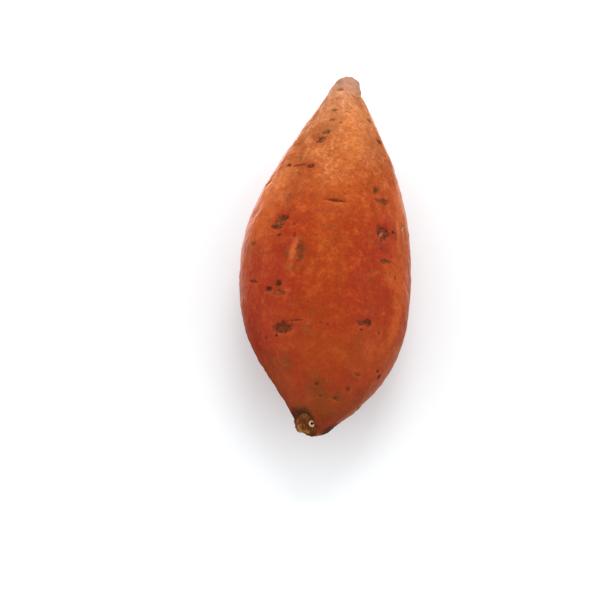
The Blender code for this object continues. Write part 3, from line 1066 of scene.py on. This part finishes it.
def skinMaterial():
    material, tree, place = newMaterial("sweetPotatoSkin")
    colours, strengths = skinColours, skinStrengths
    blush, ochre, stain = parts(tree, attribute(tree, "zones"))
    salmonSheen, dull, speckled = parts(tree, attribute(tree, "moreZones"))
    cork, crust, torn = parts(tree, attribute(tree, "ends"))

    def pattern(name, spot=place):
        return noiseAt(tree, spot, *skinPatterns[name])

    broad, blotch, grain = pattern("broad"), pattern("blotch"), pattern("grain")
    middling, pimples, fleck = pattern("middling"), pattern("pimples"), pattern("fleck")

    def wavering(value, strength=0.9):  # a zone with an uneven border
        return total(tree, value, product(tree, total(tree, blotch, broad, -1.0), strength))

    def grainy(value, strength):  # a border that the grain breaks up
        return total(tree, value, product(tree, total(tree, grain, -0.5), strength))

    def zoned(value):
        return rise(tree, wavering(value), 0.1, 0.9)

    share = total(tree, product(tree, parts(tree, place)[1], 1 / rootShape["length"]), 0.5)
    crownward = rise(tree, share, 0.52, 0.80)
    fine = total(tree, product(tree, share, 1.5), 0.35)  # how lively the mottling is
    lively = total(tree, fine, product(tree, crownward, 0.35))
    colour = ramp(tree, wavering(share, 0.12), colours["lengthwise"])

    def lay(amount, tint):  # over what is laid so far
        nonlocal colour
        colour = mixColour(tree, amount, colour, tint)

    # the paler crown forms are partly the skin's own colour and partly a painted highlight
    def tinted(name):  # a tint, with its own paler form at the crown
        return mixColour(tree, crownward, colours[name], colours[name + "Crown"])

    lay(product(tree, zoned(ochre), strengths["ochre"]), tinted("ochre"))
    # painted light: lighter, pinker flanks for their sheen and side light
    salmonSheenTint = mixColour(tree, rise(tree, share, 0.50, 0.68), colours["salmonSheen"], colours["salmonSheenCrown"])
    lay(zoned(salmonSheen), salmonSheenTint)
    redness = wavering(blush)
    lay(rise(tree, redness, 0.05, 0.65), colours["blush"])
    # the deepest red; low on the left it is partly a painted shadow as well as the skin's own red
    deepest = rise(tree, grainy(redness, 0.4), 0.55, 1.15)
    lay(product(tree, deepest, strengths["crimson"]), colours["crimson"])
    pale, dusk = tinted("pale"), tinted("dusk")
    for spread, low, high, strength, tint in (
        (blotch, 0.52, 0.75, "paleBlotches", pale),
        (pattern("dusky"), 0.52, 0.72, "duskyBlotches", dusk),
        (middling, 0.50, 0.72, "palePatches", pale),
        (middling, 0.50, 0.30, "duskyPatches", dusk),
    ):
        lay(product(tree, rise(tree, spread, low, high), lively, strengths[strength]), tint)
    # painted highlights: pale specks for glints of sheen on the grain, in clusters and more towards the
    # crown
    loose = rise(tree, pattern("loose"), 0.42, 0.66)
    clusters = calc(tree, "MAXIMUM", speckled, product(tree, loose, crownward, 0.4))
    glints = rise(tree, total(tree, grain, pimples), 0.98, 1.25)
    lay(product(tree, glints, clusters, strengths["glintSpecks"]), colours["glintSpeck"])
    lay(product(tree, zoned(dull), strengths["dull"]), dusk)
    contrast = product(tree, fine, strengths["mottling"])
    mottled = mottle(tree, colour, colours["lightFleck"], place, Contrast=contrast, Seed=3.0)
    colour = mottled["Colour"]
    weighed = (product(tree, pimples, 1.3), product(tree, middling, 1.0), product(tree, grain, 0.8))
    broken = total(tree, *weighed)
    ragged = total(tree, stain, product(tree, total(tree, broken, -1.55), 2.2))
    earthy = product(tree, rise(tree, ragged, 0.25, 1.05), rise(tree, stain, 0.0, 0.4))
    lay(product(tree, earthy, strengths["earth"]), tinted("earth"))

    # cork at the crown, crust by the tail, and the torn faces
    corky = rise(tree, wavering(cork), 0.15, 0.95)
    cracked = rise(tree, total(tree, grain, blotch), 0.9, 1.3)
    corkTint = mixColour(tree, cracked, colours["cork"], colours["corkCrack"])
    lay(product(tree, corky, strengths["cork"]), corkTint)
    crusty = rise(tree, grainy(wavering(crust, 1.2), 0.9), 0.12, 1.0)
    crustTint = mixColour(tree, rise(tree, grain, 0.5, 0.75), colours["crust"], colours["crustPale"])
    crustTint = mixColour(tree, crustSeams(tree, place, 0.12), crustTint, colours["scarDark"])
    lay(product(tree, crusty, strengths["crust"]), crustTint)
    fibre = pattern("fibre", stretched(tree, place, (1, 0.3, 0.3)))
    paleFibre = product(tree, rise(tree, fibre, 0.48, 0.85), strengths["tornGrain"])
    onLip = product(tree, rise(tree, torn, 1.2, 1.7), strengths["tornLip"])
    tornTint = mixColour(tree, paleFibre, colours["torn"], colours["tornPale"])
    tornTint = mixColour(tree, rise(tree, fibre, 0.40, 0.25), tornTint, colours["crustPale"])
    tornTint = mixColour(tree, onLip, tornTint, colours["tornPale"])
    lay(rise(tree, grainy(torn, 0.6), 0.25, 0.65), tornTint)

    # marks: darkest at their crownward side, greyer at the other; that is painted shade on the crownward
    # wall and painted light on the rootward side
    away, lean, side, depth, tone, ring = markAt(tree, place).values()
    sore = rise(tree, depth, 0.1 * mm, 0.8 * mm)
    lay(product(tree, rise(tree, away, 2.8, 1.0), sore, strengths["markHalo"]), colours["blush"])
    # painted highlight: a pale rim on the rootward side of each mark, where the light falls on it
    lip = product(tree, rise(tree, away, 0.9, 1.2), rise(tree, away, 1.7, 1.25))
    lay(product(tree, lip, rise(tree, lean, 0.3, -0.8), strengths["markLitLip"]), colours["pale"])
    # painted shade: each mark darker towards its crownward wall, lighter towards its rootward side
    leaning = product(tree, rise(tree, lean, 0.7, -0.7), 0.45)
    outer = product(tree, rise(tree, away, 0.35, 0.85), -0.35)
    lighter = product(tree, crownward, 0.4)
    uneven = product(tree, total(tree, fleck, -0.5), 2.3)
    warmth = total(tree, tone, uneven, leaning, outer, lighter, -0.2)
    scar = mixColour(tree, rise(tree, warmth, -0.2, 0.45), colours["scarDark"], colours["scarBrown"])
    scar = mixColour(tree, rise(tree, warmth, 0.4, 1.0), scar, colours["scarGrey"])
    scar = mixColour(tree, rise(tree, warmth, 1.05, 1.6), scar, colours["scab"])
    scar = mixColour(tree, rise(tree, tone, -0.1, -0.4), scar, colours["scarRed"])
    # a ring mark keeps some skin in its middle, and a pale stroke of torn rootlet
    askew = calc(tree, "ABSOLUTE", total(tree, product(tree, side, 0.85), product(tree, lean, -0.5)))
    stroke = rise(tree, grainy(askew, 0.5), 0.26, 0.08)
    below = product(tree, rise(tree, lean, 0.15, -0.15), rise(tree, lean, -0.85, -0.45))
    core = product(tree, rise(tree, ring, 0.75, 0.95), stroke, below)
    scar = mixColour(tree, product(tree, core, strengths["markCore"]), scar, colours["scarPale"])
    # scuffed skin, and a painted reflection where the stripe on the right flank lies
    scar = mixColour(tree, rise(tree, tone, 1.6, 1.9), scar, colours["scuffAndSheen"])
    worn = product(tree, ring, rise(tree, away, 0.7, 0.35), rise(tree, fleck, 0.50, 0.38))
    shown = product(tree, rise(tree, away, 1.25, 0.45), total(tree, 1.0, product(tree, worn, -0.8)))
    strong = between(tree, rise(tree, depth, 0.05 * mm, 0.32 * mm), 0.55, 1.0)
    lay(product(tree, shown, strong, between(tree, rise(tree, fleck, 0.62, 0.45), 0.62, 0.97)), scar)

    def onTheRough(base, *shares):  # more of it on marks, cork, crust and torn faces
        extra = [product(tree, field, more) for field, more in zip((shown, corky, crusty, torn), shares)]
        return total(tree, base, *extra)

    roughness = onTheRough(between(tree, mottled["Patch"], 0.34, 0.56), 0.25, 0.2, 0.3, 0.3)
    relief = total(
        tree,
        product(tree, mottled["Height"], onTheRough(1.0, 1.1, 1.5, 4.0, 4.0)),
        product(tree, fibre, torn, 5.0),
        product(tree, pimples, total(tree, clusters, product(tree, stain, 0.6)), 1.8),
    )
    finishShader(tree, colour, calc(tree, "MINIMUM", roughness, 0.95), relief, 0.17 * mm, 0.22)
    for name, value in skinWax.items():
        tree.nodes["Principled BSDF"].inputs[name].default_value = value
    return material


skin.data = grow(skin, reliefTree(), skinRelief | {"Material": skinMaterial()}, "sweetPotatoSkin")
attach(skin, "root")
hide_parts("sweet_potato")
print("skin:", len(skin.data.polygons), "faces")


# Small bits strewn over the skin. Where they grow is a field from 0 to 1, times the density

def bitMaterial(name, dark, light, contrast):
    material, tree, place = newMaterial(name)
    tone = addNode(tree, "ShaderNodeAttribute", attribute_name="tone", attribute_type="GEOMETRY")
    colour = mixColour(tree, tone.outputs["Fac"], dark, light)
    speckled = mottle(tree, colour, light, place, Contrast=contrast, Seed=8.0)
    finishShader(tree, speckled["Colour"], 0.78, speckled["Height"], 0.12 * mm, 0.12)
    return material


def flakeShape(tree):  # a worn crumb
    return addNode(tree, "GeometryNodeMeshIcoSphere", {"Radius": 1.0, "Subdivisions": 1}).outputs["Mesh"]


def spikeShape(tree):  # a bent spike, four-sided, standing on its foot
    cone = addNode(
        tree,
        "GeometryNodeMeshCone",
        {"Vertices": 4, "Side Segments": 3, "Radius Top": 0.25, "Radius Bottom": 1.0, "Depth": 2.0},
    )
    z = parts(tree, tree.nodes.new("GeometryNodeInputPosition").outputs[0])[2]
    bent = joinXyz(tree, product(tree, z, z, 0.5), 0.0, -0.6)
    return moved(tree, cone.outputs["Mesh"], Offset=bent)


def strewTree(name, where, shape, settings):
    tree, given, made = newTree(
        name,
        "GeometryNodeTree",
        {"Geometry": ("NodeSocketGeometry", None), "Material": ("NodeSocketMaterial", None)}
        | {label: ("NodeSocketFloat", value) for label, value in settings.items() if label != "Seed"}
        | {"Seed": ("NodeSocketInt", settings["Seed"])},
        {"Geometry": ("NodeSocketGeometry", None)},
    )
    chosen = where(tree, tree.nodes.new("GeometryNodeInputPosition").outputs[0])
    density = product(tree, chosen, given["Density"])
    spread = addNode(
        tree,
        "GeometryNodeDistributePointsOnFaces",
        {"Mesh": given["Geometry"], "Density": density, "Seed": given["Seed"]},
    )
    lean = given["Tilt"]
    leans = [randomIn(tree, product(tree, lean, -1.0), lean, seed) for seed in (1, 2)]
    turn = joinXyz(tree, *leans, randomIn(tree, -math.pi, math.pi, 3))
    turned = addNode(
        tree,
        "FunctionNodeRotateRotation",
        {"Rotation": spread.outputs["Rotation"], "Rotate By": turn},
        rotation_space="LOCAL",
    )
    uneven = given["Unevenness"]
    least, most = calc(tree, "SUBTRACT", 1.0, uneven), calc(tree, "ADD", 1.0, uneven)
    size, stretch = randomIn(tree, least, most, 4), randomIn(tree, least, most, 5)
    scale = joinXyz(
        tree,
        product(tree, given["Width"], size, stretch),
        product(tree, given["Length"], size),
        product(tree, given["Height"], size),
    )
    placed = addNode(
        tree,
        "GeometryNodeInstanceOnPoints",
        {
            "Points": spread.outputs["Points"],
            "Instance": shape(tree),
            "Rotation": turned.outputs[0],
            "Scale": scale,
        },
    )
    lifted = addNode(
        tree,
        "GeometryNodeTranslateInstances",
        {"Instances": placed.outputs[0], "Translation": joinXyz(tree, 0.0, 0.0, given["Lift"])},
    )
    toned = addNode(
        tree,
        "GeometryNodeStoreNamedAttribute",
        {"Geometry": lifted.outputs[0], "Name": "tone", "Value": randomIn(tree, 0.0, 1.0, 6)},
        data_type="FLOAT",
        domain="INSTANCE",
    )
    finishTree(tree, toned.outputs[0], given, made)
    return tree


def clearOfFloor(tree, place):
    return rise(tree, parts(tree, place)[2], 0.8 * mm, 2.5 * mm)


def onMarks(tree, place):
    mark = markAt(tree, place)
    crust, torn = parts(tree, attribute(tree, "ends"))[1:]
    brown = product(tree, rise(tree, mark["away"], 1.0, 0.75), rise(tree, mark["tone"], 0.0, 0.5))
    scabby = product(tree, brown, rise(tree, mark["tone"], 1.7, 1.4))
    crusty = product(tree, rise(tree, crust, 0.35, 0.75), rise(tree, torn, 0.5, 0.1), 0.45)
    return product(tree, total(tree, scabby, crusty), clearOfFloor(tree, place))


def offMarks(tree, place):
    return product(tree, rise(tree, markAt(tree, place)["away"], 1.4, 1.8), clearOfFloor(tree, place))


def onBreak(tree, place):
    torn = rise(tree, parts(tree, attribute(tree, "ends"))[2], 0.6, 1.7)
    return product(tree, torn, rise(tree, parts(tree, place)[1], 0.0, -10 * mm))


def onHiddenScars(tree, place):  # deep scars of the sides and the belly still hold their rootlets
    mark = markAt(tree, place)
    deep = product(tree, rise(tree, mark["away"], 0.7, 0.3), rise(tree, mark["depth"], 0.35 * mm, 0.6 * mm))
    low = rise(tree, parts(tree, place)[2], 26 * mm, 18 * mm)
    return product(tree, deep, low, clearOfFloor(tree, place))


# sizes are half the width, length and height of one bit; densities are counts per square metre
strewn = {
    "corkCrumbs": {
        "Density": 8e5,
        "Width": 0.30 * mm,
        "Length": 0.22 * mm,
        "Height": 0.10 * mm,
        "Unevenness": 0.45,
        "Tilt": 0.35,
        "Lift": 0.02 * mm,
        "Seed": 3,
    },
    "lenticels": {
        "Density": 9e3,
        "Width": 0.32 * mm,
        "Length": 0.19 * mm,
        "Height": 0.09 * mm,
        "Unevenness": 0.3,
        "Tilt": 0.05,
        "Lift": 0.02 * mm,
        "Seed": 5,
    },
    "tornFibres": {
        "Density": 2.4e6,
        "Width": 0.13 * mm,
        "Length": 0.13 * mm,
        "Height": 0.45 * mm,
        "Unevenness": 0.6,
        "Tilt": 0.6,
        "Lift": 0.25 * mm,
        "Seed": 2,
    },
    "rootletStubs": {
        "Density": 1.2e5,
        "Width": 0.24 * mm,
        "Length": 0.24 * mm,
        "Height": 1.1 * mm,
        "Unevenness": 0.35,
        "Tilt": 0.5,
        "Lift": 0.6 * mm,
        "Seed": 9,
    },
}

for name, where, shape, dark, light in (
    ("corkCrumbs", onMarks, flakeShape, paint(64, 32, 16), paint(124, 80, 54)),
    ("lenticels", offMarks, flakeShape, paint(96, 40, 16), paint(150, 74, 36)),
    ("tornFibres", onBreak, spikeShape, paint(128, 70, 32), paint(206, 146, 86)),
    ("rootletStubs", onHiddenScars, spikeShape, paint(104, 56, 28), paint(170, 112, 66)),
):
    tree = strewTree(name, where, shape, strewn[name])
    bits = grow(skin, tree, strewn[name] | {"Material": bitMaterial(name, dark, light, 0.5)}, name)
    rideRoot(name, bits)


# The broken rootlet beside the tail: a pale open ring

rootletRing = {
    "across": 0.50 * mm,  # from the middle of the frame's box
    "along": -70.7 * mm,
    "lean": (0.15, -0.50, 0.85),  # it points this way, towards the root end and up
    "sides": 28,
    # radius and height from the skin, from the sunken foot over the rim into the hole
    "profile": (
        (1.00, -1.40),
        (1.20, -0.40),
        (1.26, 0.50),
        (1.22, 0.95),
        (1.06, 1.12),
        (0.84, 1.10),
        (0.66, 0.92),
        (0.58, 0.60),
        (0.54, 0.15),
        (0.46, -0.20),
    ),
    "seed": 5,
}


def makeRootletRing():
    surface = BVHTree.FromObject(skin, bpy.context.evaluated_depsgraph_get())
    above = Vector((rootletRing["across"], rootletRing["along"], 0.1))
    foot = surface.ray_cast(above, Vector((0, 0, -1)))[0]
    turned = Vector(rootletRing["lean"]).normalized().to_track_quat("Z", "Y").to_matrix()
    sides = rootletRing["sides"]
    draw = np.random.default_rng(rootletRing["seed"])
    uneven = [1 + draw.normal(0, 0.045) for _ in range(sides)]
    chipped = [draw.normal(0, 0.09) for _ in range(sides)]
    mesh = bmesh.new()
    rings = []
    for radius, height in rootletRing["profile"]:
        ring = []
        for side in range(sides):
            angle = 2 * math.pi * side / sides
            reach = radius * uneven[side] * mm
            level = (height + (chipped[side] if height > 0.3 else 0)) * mm
            offset = Vector((reach * math.cos(angle), reach * math.sin(angle), level))
            ring.append(mesh.verts.new(foot + turned @ offset))
        rings.append(ring)
    for lower, upper in zip(rings, rings[1:]):
        for side in range(sides):
            following = (side + 1) % sides
            mesh.faces.new((lower[side], lower[following], upper[following], upper[side]))
    mesh.faces.new(rings[0][::-1])
    mesh.faces.new(rings[-1])
    bmesh.ops.triangulate(mesh, faces=[face for face in mesh.faces if len(face.verts) > 4])
    bmesh.ops.recalc_face_normals(mesh, faces=mesh.faces)
    data = bpy.data.meshes.new("brokenRootlet")
    mesh.to_mesh(data)
    mesh.free()
    heights = np.repeat([height for _, height in rootletRing["profile"]], sides)
    layer = data.attributes.new("tone", "FLOAT", "POINT")
    layer.data.foreach_set("value", np.clip((heights - 0.4) / 0.5, 0, 1).astype(np.float32))
    for polygon in data.polygons:
        polygon.use_smooth = True
    data.materials.append(bitMaterial("brokenRootlet", paint(46, 20, 8), paint(240, 206, 166), 0.25))
    rideRoot("brokenRootlet", data)


makeRootletRing()


# Floor, light and camera

studio = {
    "floorSize": 6.0,
    "floorColour": paint(242, 246, 248),
    "keyWay": (0.05, 0.60, 0.80),  # from the root towards the lamp
    "keyDistance": 1.1,
    "keySize": 0.5,
    "keyPower": 3.0,
    "skyWay": (0.0, 0.85, 0.53),  # the soft sky is brightest this way
    "skyBright": 1.16,
    "skyDim": 0.70,
    "skyFrom": -0.7,  # cosine of the angle where it starts
    "sideGlow": 0.75,  # added low on the left and the right
    "sheenWay": (0.0, 0.94, 0.34),  # and its reflection this way, low beyond the crown
    "sheenBright": 2.3,
    "sheenDim": 0.04,
    "sheenFrom": 0.70,
    "sheenColour": paint(255, 228, 194),
    "rimColour": paint(255, 216, 212),
    "rimSheen": 4.1,  # and from below, which only the edges of the root mirror
    "rimLeaning": -0.9,  # stronger on the left
    "rimBehind": 0.22,  # what is left of it on the right, towards the root end
}

photoView = {
    "azimuth": 5.5,  # degrees; 0 looks along +Y
    "elevation": 72.0,
    "lens": 90.0,
    "distance": 0.5913,
    "pixel": 0.399 * mm,  # the size of one pixel of the picture, at the root
    "pixelsRight": -27,  # from the middle of the root's box to what the camera aims at
    "pixelsUp": -48,
}


def makeStudio():
    bpy.context.scene.view_settings.view_transform = "Standard"
    half = studio["floorSize"] / 2
    data = bpy.data.meshes.new("floor")
    corners = [(x * half, y * half, 0) for x, y in ((-1, -1), (1, -1), (1, 1), (-1, 1))]
    data.from_pydata(corners, [], [(0, 1, 2, 3)])
    floor = addObject("floor", data)
    material = bpy.data.materials.new("paleFloor")
    material.use_nodes = True
    shader = material.node_tree.nodes["Principled BSDF"]
    shader.inputs["Base Color"].default_value = studio["floorColour"]
    shader.inputs["Roughness"].default_value = 0.9
    shader.inputs["Specular IOR Level"].default_value = 0.1
    data.materials.append(material)
    floor.visible_glossy = False  # no pale sheen from it on the sides of the root

    world = bpy.data.worlds.new("studio")
    world.use_nodes = True
    tree = world.node_tree
    direction = addNode(tree, "ShaderNodeTexCoord").outputs["Generated"]

    def glow(light):  # brightest towards one side
        ways = {0: direction, 1: Vector(studio[light + "Way"]).normalized()}
        facing = addNode(tree, "ShaderNodeVectorMath", ways, operation="DOT_PRODUCT")
        shown = rise(tree, facing.outputs["Value"], studio[light + "From"], 1.0)
        return between(tree, shown, studio[light + "Dim"], studio[light + "Bright"])

    paths = addNode(tree, "ShaderNodeLightPath").outputs
    x, y, z = parts(tree, direction)
    sides = product(tree, rise(tree, calc(tree, "ABSOLUTE", x), 0.45, 0.95), studio["sideGlow"])
    soft = total(tree, glow("sky"), sides)
    sheen = glow("sheen")
    leaning = total(tree, 1.0, product(tree, x, studio["rimLeaning"]))
    behind = product(tree, rise(tree, x, -0.2, 0.3), studio["rimBehind"])
    ahead = calc(tree, "MAXIMUM", rise(tree, y, 0.10, 0.60), behind)
    below = product(tree, rise(tree, z, -0.45, -0.90), ahead, leaning)
    sheen = total(tree, sheen, product(tree, below, studio["rimSheen"]))
    mirrored = paths["Is Glossy Ray"]
    light = total(tree, soft, product(tree, mirrored, calc(tree, "SUBTRACT", sheen, soft)))
    # the sky behind the root shows plain white
    strength = calc(tree, "MAXIMUM", light, product(tree, paths["Is Camera Ray"], 1.2))
    tree.links.new(strength, tree.nodes["Background"].inputs["Strength"])
    warm = mixColour(tree, below, studio["sheenColour"], studio["rimColour"])
    tint = mixColour(tree, mirrored, (1, 1, 1, 1), warm)
    tree.links.new(tint, tree.nodes["Background"].inputs["Color"])
    bpy.context.scene.world = world

    way = Vector(studio["keyWay"]).normalized()
    lamp = bpy.data.lights.new("keyLamp", "AREA")
    lamp.shape = "DISK"
    lamp.size = studio["keySize"]
    lamp.energy = studio["keyPower"]
    key = addObject("keyLamp", lamp)
    key.visible_glossy = False
    key.location = (cadLow + cadHigh) / 2 + way * studio["keyDistance"]
    key.rotation_euler = way.to_track_quat("Z", "Y").to_euler()


def makeCamera():
    azimuth, elevation = math.radians(photoView["azimuth"]), math.radians(photoView["elevation"])
    level = math.cos(elevation)
    back = Vector((math.sin(azimuth) * level, -math.cos(azimuth) * level, math.sin(elevation)))
    right = Vector((math.cos(azimuth), math.sin(azimuth), 0))
    up = back.cross(right)
    aside = right * photoView["pixelsRight"] + up * photoView["pixelsUp"]
    aim = (cadLow + cadHigh) / 2 + aside * photoView["pixel"]
    camera = addObject("camera", bpy.data.cameras.new("camera"))
    camera.data.lens = photoView["lens"]
    camera.data.clip_start = 0.01
    camera.location = aim + back * photoView["distance"]
    camera.rotation_euler = back.to_track_quat("Z", "Y").to_euler()
    bpy.context.scene.camera = camera


makeStudio()
makeCamera()
print("studio and camera")
